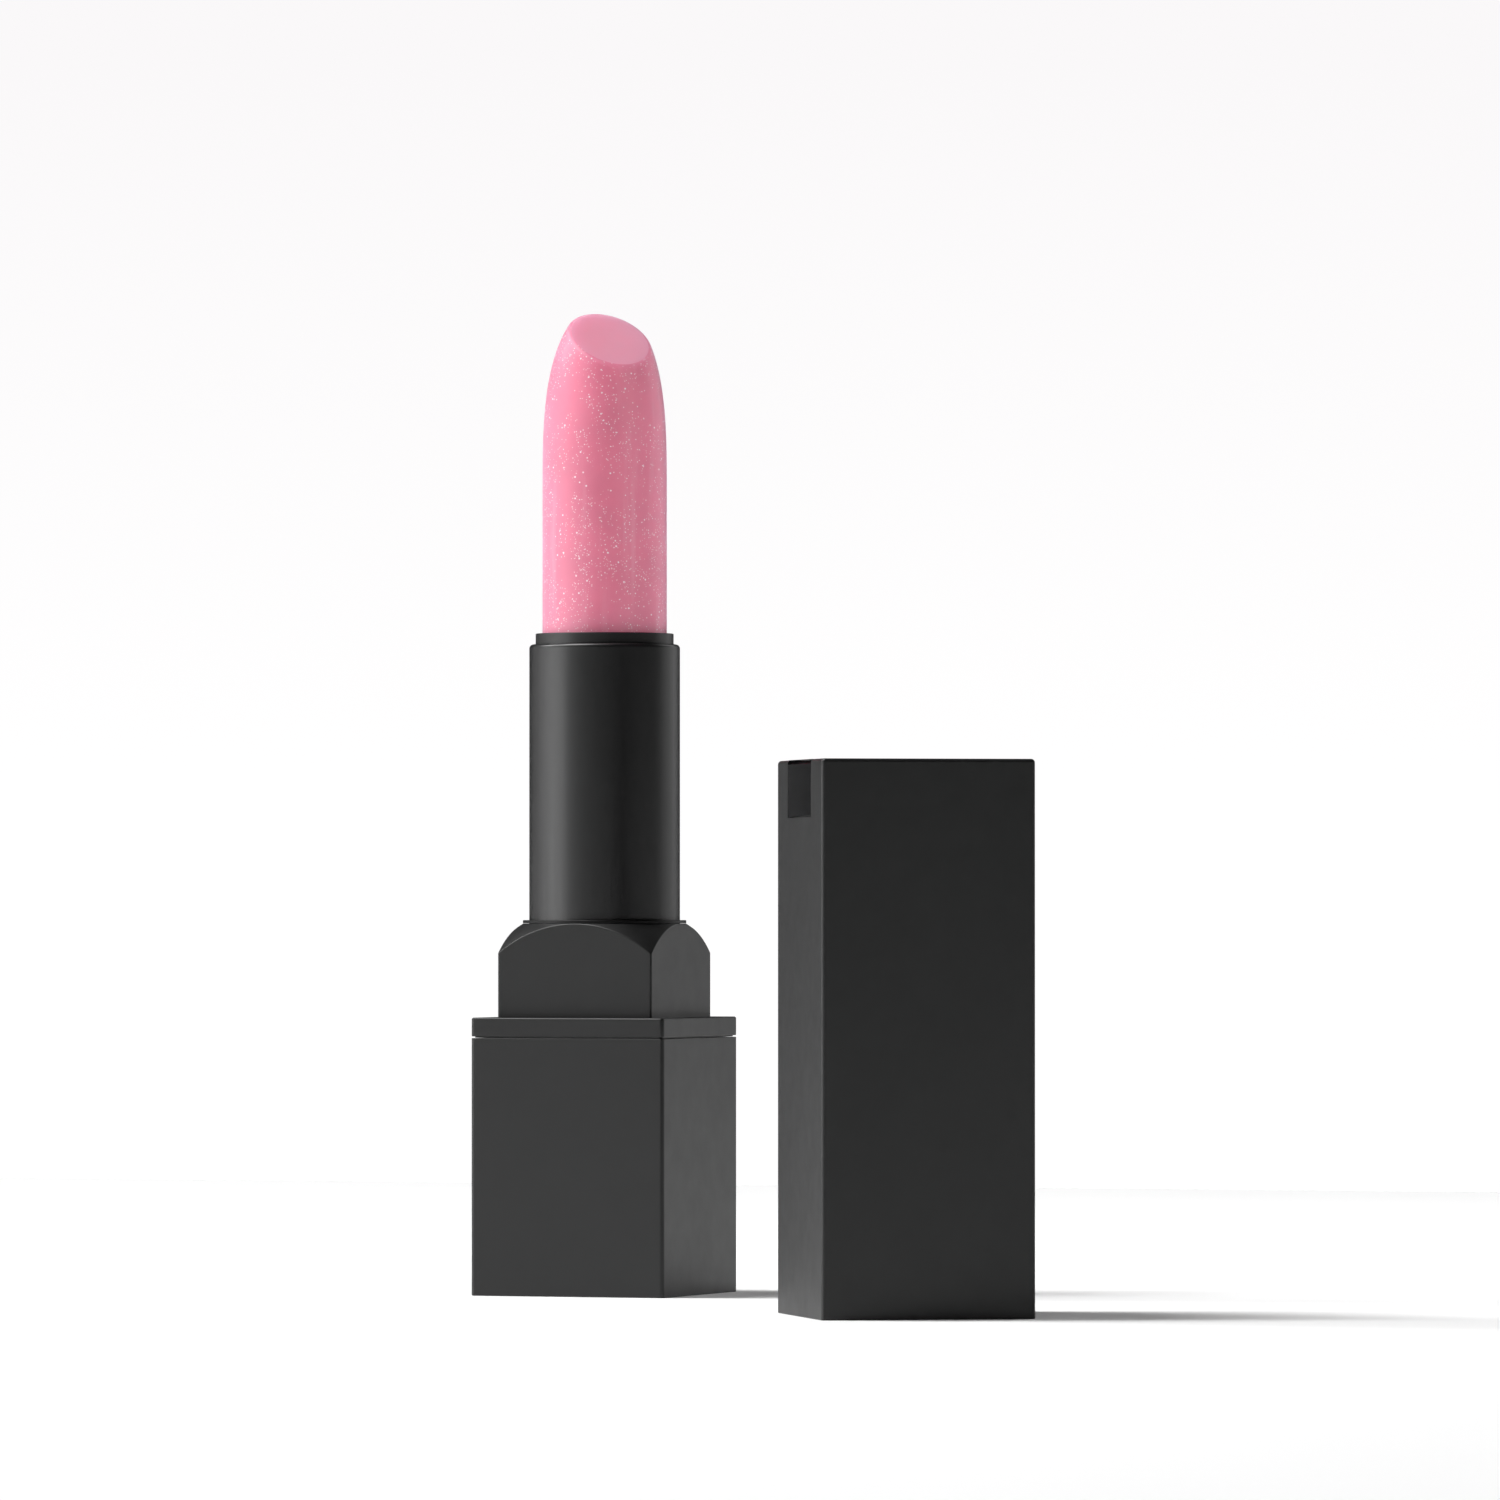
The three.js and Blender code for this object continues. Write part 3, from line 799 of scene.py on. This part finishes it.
def beside_camera(turn, elevation, distance):
    """A place seen from the set's middle at a turn to the right of the camera and an elevation."""
    heading = CAMERA_TURN + math.radians(turn)
    rise = math.radians(elevation)
    level = math.cos(rise)
    way = Vector((math.sin(heading) * level, -math.cos(heading) * level, math.sin(rise)))
    return SET_MIDDLE + way * distance


def place_light(light, turn, elevation, distance=LIGHT_DISTANCE):
    obj = bpy.data.objects.new(light.name, light)
    bpy.context.scene.collection.objects.link(obj)
    obj.location = beside_camera(turn, elevation, distance)
    obj.rotation_euler = (SET_MIDDLE - obj.location).to_track_quat("-Z", "Y").to_euler()
    return obj


def softbox(name, turn, elevation, width, tall, radiance, distance=LIGHT_DISTANCE):
    """A rectangle of light facing the set's middle: angles in degrees, sizes in metres, radiance."""
    light = bpy.data.lights.new(name, "AREA")
    light.shape = "RECTANGLE"
    light.size = width
    light.size_y = tall
    light.energy = radiance * math.pi * width * tall
    return place_light(light, turn, elevation, distance)


def light_paper(floor):
    """Weak lights that only the paper receives, so that it stays white and its shadows soft."""
    light = bpy.data.lights.new("paper_sun", "SUN")
    light.energy = PAPER_SUN
    light.angle = math.radians(PAPER_SUN_SPREAD)
    only_for(place_light(light, LEFT, PAPER_SUN_ELEVATION), floor)
    only_for(softbox("paper_front", 0, 35, 0.4, 0.4, 1.9), floor)
    only_for(softbox("paper_right", 125, 38, 0.2, 0.2, 2.1, distance=0.35), floor)


def backdrop_tone(tree):
    """White low down and a touch greyer above, by how high each ray points."""
    place = tree.nodes.new("ShaderNodeTexCoord")
    axes = tree.nodes.new("ShaderNodeSeparateXYZ")
    rise = tree.nodes.new("ShaderNodeMapRange")
    rise.inputs["From Min"].default_value = BACKDROP_LOW
    rise.inputs["From Max"].default_value = BACKDROP_HIGH
    tone = tree.nodes.new("ShaderNodeMix")
    tone.data_type = "RGBA"
    tone.inputs[6].default_value = BACKDROP_WHITE
    tone.inputs[7].default_value = BACKDROP_TOP
    tree.links.new(place.outputs["Generated"], axes.inputs["Vector"])
    tree.links.new(axes.outputs["Z"], rise.inputs["Value"])
    tree.links.new(rise.outputs["Result"], tone.inputs["Factor"])
    return tone.outputs[2]


def make_world():
    """The backdrop for the camera's own rays, and a dark room for all others."""
    world = bpy.data.worlds.new("room")
    bpy.context.scene.world = world
    world.use_nodes = True
    tree = world.node_tree
    tree.nodes.clear()
    seen = tree.nodes.new("ShaderNodeBackground")
    room = tree.nodes.new("ShaderNodeBackground")
    room.inputs["Strength"].default_value = 0
    path = tree.nodes.new("ShaderNodeLightPath")
    mix = tree.nodes.new("ShaderNodeMixShader")
    out = tree.nodes.new("ShaderNodeOutputWorld")
    tree.links.new(backdrop_tone(tree), seen.inputs["Color"])
    tree.links.new(path.outputs["Is Camera Ray"], mix.inputs["Fac"])
    tree.links.new(room.outputs[0], mix.inputs[1])
    tree.links.new(seen.outputs[0], mix.inputs[2])
    tree.links.new(mix.outputs[0], out.inputs["Surface"])


def make_floor():
    """A sheet of white paper under the set."""
    corners = [(SET_MIDDLE.x + x * PAPER_HALF, SET_MIDDLE.y + y * PAPER_HALF, 0)
               for x, y in ((-1, -1), (1, -1), (1, 1), (-1, 1))]
    floor = mesh_object("floor", corners, [(0, 1, 2, 3)])
    nodes = Nodes("paper")
    nodes.set(Specular_IOR_Level=0.0)
    tone = nodes.mix(nodes.noise(40), (0.95, 0.95, 0.95), (0.96, 0.96, 0.96))
    gloss = nodes.ramp(nodes.noise(60), 0, 1, 0.8, 0.9)
    nodes.finish(tone, gloss, nodes.bump(nodes.noise(900), 0.002 * MM))
    paint(floor, nodes.material)
    return floor


def make_camera():
    data = bpy.data.cameras.new("camera")
    data.lens = CAMERA_LENS
    data.sensor_width = SENSOR
    data.clip_start = CLIP_NEAR
    data.clip_end = CLIP_FAR
    camera = bpy.data.objects.new("camera", data)
    bpy.context.scene.collection.objects.link(camera)
    camera.location = CAMERA_PLACE
    camera.rotation_euler = (math.pi / 2 + CAMERA_PITCH, 0, CAMERA_TURN)
    bpy.context.scene.camera = camera


def set_colour_view():
    view = bpy.context.scene.view_settings
    view.view_transform = "Standard"
    view.look = "None"


make_camera()
set_colour_view()
make_world()
light_paper(make_floor())

# Lights on the whole set: turn and elevation in degrees, width and height in metres, radiance.
softbox("key", LEFT, 64, 0.24, 0.9, 34.5, distance=2 * LIGHT_DISTANCE)
softbox("low_left", LEFT, 5, 0.12, 0.2, 9.4)
softbox("low_left_front", -72, 5, 0.2, 0.24, 6)
softbox("low_left_back", -108, 5, 0.2, 0.24, 2.6)
softbox("high_left_back", -108, 36, 0.2, 0.24, 21)
softbox("far_left_back", -130, 8, 0.3, 0.24, 0.68)
softbox("front_left", -50, 12, 0.24, 0.3, 1.1)
softbox("front_fill", -30, 12, 0.35, 0.4, 0.2)
softbox("low_right", 112, 8, 0.3, 0.24, 1.05)
softbox("low_right_back", 135, 8, 0.3, 0.24, 1.4)
softbox("high_right_back", 140, 30, 0.3, 0.3, 2)

soft_black = satin_plastic("soft_touch_black", (0.0075, 0.0077, 0.0079), 0.45)
tube_black = painted_metal("tube_black", (0.008, 0.008, 0.0084), 0.38)
ring_black = painted_metal("ring_black", (0.004, 0.004, 0.0042), 0.45, specular=0.3)
rim_black = satin_plastic("rim_black", (0.01, 0.0101, 0.0103), 0.42)
inlay_black = gloss_plastic("inlay_black", (0.006, 0.006, 0.0065), 0.16)
inner_black = satin_plastic("inner_black", (0.02, 0.02, 0.021), 0.55, grain=0.003 * MM)
natural = satin_plastic("natural_plastic", (0.72, 0.71, 0.66), 0.42)
slug = steel("slug_steel", (0.52, 0.53, 0.54))
ring_rubber = rubber("ring_rubber", (0.015, 0.015, 0.015))
pink_side = wax("pink_wax", (0.84, 0.25, 0.37))
# The face's paler, whiter pink is painted sheen: the light the upturned face catches, painted into its
# colour.
pink_face_painted_sheen = cut_wax("pink_wax_face_painted_sheen", (0.87, 0.36, 0.485))

make_base_shell(soft_black)
make_collar(soft_black)
make_neck(soft_black)
make_neck_ring(ring_black)
make_outer_tube(tube_black)
make_guide_body(rim_black)
bullet = make_bullet(pink_side, pink_face_painted_sheen)
only_for(softbox("bullet_fill", 50, 20, 0.35, 0.4, 4.7), bullet)
only_for(softbox("bullet_edge", 112, 15, 0.3, 0.4, 1.6), bullet)
only_for(softbox("bullet_left", -48, 15, 0.3, 0.4, 2.4), bullet)
make_cap_shell(soft_black)
make_cap_inlay(inlay_black)
make_cap_liner(inner_black)

for node, material in (("base_weight", slug), ("base_insert", inner_black),
                       ("torque_ring", ring_rubber), ("spiral_sleeve", natural),
                       ("bullet_cup", natural)):
    paint(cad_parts[node], material)
